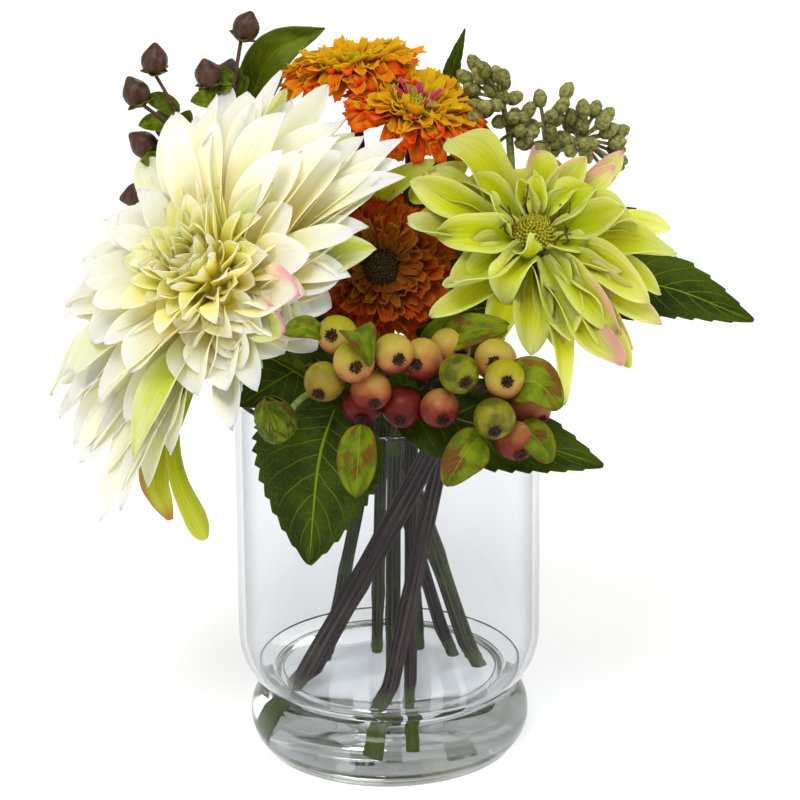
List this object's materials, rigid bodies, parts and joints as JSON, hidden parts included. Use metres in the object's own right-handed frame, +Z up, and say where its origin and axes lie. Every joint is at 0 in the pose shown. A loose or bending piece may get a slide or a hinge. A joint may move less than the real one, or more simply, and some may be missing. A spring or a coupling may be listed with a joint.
{
  "type": "vase of cut flowers",
  "caption": "Bouquet of dahlias, gerberas, berries, seed pods and leaves standing in a clear glass vase with a little water.",
  "frame": {"origin": "centre of the vase's flat foot, on the surface that it stands on", "axes": "+Z up along the vase; -Y is the front, towards the open faces of the flowers; +X is to the right of someone who looks at the front"},
  "size_m": [0.288, 0.185, 0.3073],
  "materials": {
    "glass": "clear, polished, faintly grey at the edges",
    "water": "clear and still, like water",
    "cream_petal": "matte, creamy white going to yellow-green at the heart",
    "lime_petal": "matte, lime green going to pale green and pink at the tips",
    "orange_petal": "matte, orange with red bases and yellow tips",
    "dark_disc": "matte, dark brown and tufted",
    "sepal": "matte green",
    "leaf": "dark green with paler veins, low sheen",
    "seed": "matte grey-green",
    "stem_green": "matte olive green",
    "stem_brown": "matte purplish brown bark, green at the cut end",
    "berry": "smooth, peach, red and green",
    "pod": "satin dark brown"
  },
  "bodies": {
    "root": {"berries_left": "berry", "berries_middle": "berry", "berries_right": "berry", "bud": "seed", "eucalyptus_left": "seed", "eucalyptus_right": "seed", "gerbera_back_disc": "dark_disc", "gerbera_back_petals_inner": "orange_petal", "gerbera_back_petals_outer": "orange_petal", "gerbera_back_receptacle": "sepal", "gerbera_front_disc": "dark_disc", "gerbera_front_petals_inner": "orange_petal", "gerbera_front_petals_outer": "orange_petal", "gerbera_front_receptacle": "sepal", "gerbera_middle_disc": "dark_disc", "gerbera_middle_petals_inner": "orange_petal", "gerbera_middle_petals_outer": "orange_petal", "gerbera_middle_receptacle": "sepal", "green_dahlia_disc": "lime_petal", "green_dahlia_petals_inner": "lime_petal", "green_dahlia_petals_middle": "lime_petal", "green_dahlia_petals_outer": "lime_petal", "green_dahlia_receptacle": "sepal", "hypericum_left": "pod", "hypericum_right": "pod", "leaf_back_left": "leaf", "leaf_back_middle": "leaf", "leaf_back_right": "leaf", "leaf_front_left": "leaf", "leaf_front_right": "leaf", "leaf_right": "leaf", "leaf_right_upper": "leaf", "leaf_top_left": "leaf", "leaf_top_right": "leaf", "leaf_under_left": "leaf", "leaf_under_right": "leaf", "stem_berries": "stem_green", "stem_eucalyptus": "stem_brown", "stem_foliage": "stem_green", "stem_gerbera_back": "stem_green", "stem_gerbera_front": "stem_green", "stem_gerbera_middle": "stem_brown", "stem_green_dahlia": "stem_brown", "stem_hypericum": "stem_brown", "stem_white_dahlia": "stem_green", "vase": "glass", "water": "water", "white_dahlia_bract_long": "lime_petal", "white_dahlia_bract_short": "lime_petal", "white_dahlia_heart": "cream_petal", "white_dahlia_petals_inner": "cream_petal", "white_dahlia_petals_outer": "cream_petal", "white_dahlia_petals_second": "cream_petal", "white_dahlia_petals_third": "cream_petal", "white_dahlia_receptacle": "sepal"}
  },
  "joints": []
}
